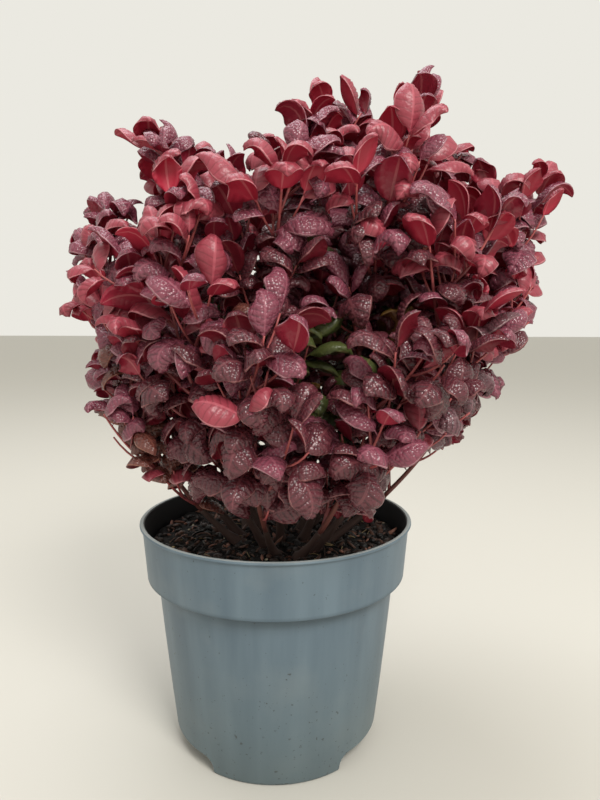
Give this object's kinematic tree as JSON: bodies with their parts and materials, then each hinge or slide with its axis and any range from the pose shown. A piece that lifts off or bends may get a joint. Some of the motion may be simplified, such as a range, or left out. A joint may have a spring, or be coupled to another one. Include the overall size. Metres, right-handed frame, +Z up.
{
  "type": "potted coast leucothoe",
  "caption": "Bushy evergreen shrub with hooked, quilted burgundy leaves on many slender stems, growing in compost in a round tapered nursery pot with a deep band under its rim.",
  "frame": {"origin": "centre of the pot's flat underside", "axes": "+X to the right in the picture, +Y away from its camera, +Z up"},
  "size_m": [0.3482, 0.2957, 0.4642],
  "materials": {
    "pot": "satin blue-grey moulded plastic, scuffed",
    "compost": "dark damp peat with bark chips",
    "bark": "smooth red-brown bark",
    "leaves": "glossy burgundy leaf"
  },
  "bodies": {
    "root": {"pot": "pot", "compost": "compost", "stem_top_right": "bark", "stem_top_middle": "bark", "stem_top_left": "bark", "stem_left": "bark", "stem_high_right": "bark", "stem_front_left": "bark", "stem_front_middle": "bark", "stem_middle_right": "bark", "stem_front_right": "bark", "stem_back_left": "bark", "stem_back_middle": "bark", "stem_back_right": "bark", "stem_low_left": "bark", "stem_low_front": "bark", "stem_low_front_right": "bark", "stem_low_right": "bark", "stem_low_back_left": "bark", "stem_low_back_right": "bark", "foliage_top_right": "leaves", "foliage_top_middle": "leaves", "foliage_top_left": "leaves", "foliage_left": "leaves", "foliage_high_right": "leaves", "foliage_front_left": "leaves", "foliage_front_middle": "leaves", "foliage_middle_right": "leaves", "foliage_front_right": "leaves", "foliage_back_left": "leaves", "foliage_back_middle": "leaves", "foliage_back_right": "leaves", "foliage_low_left": "leaves", "foliage_low_front": "leaves", "foliage_low_front_right": "leaves", "foliage_low_right": "leaves", "foliage_low_back_left": "leaves", "foliage_low_back_right": "leaves"}
  },
  "joints": []
}
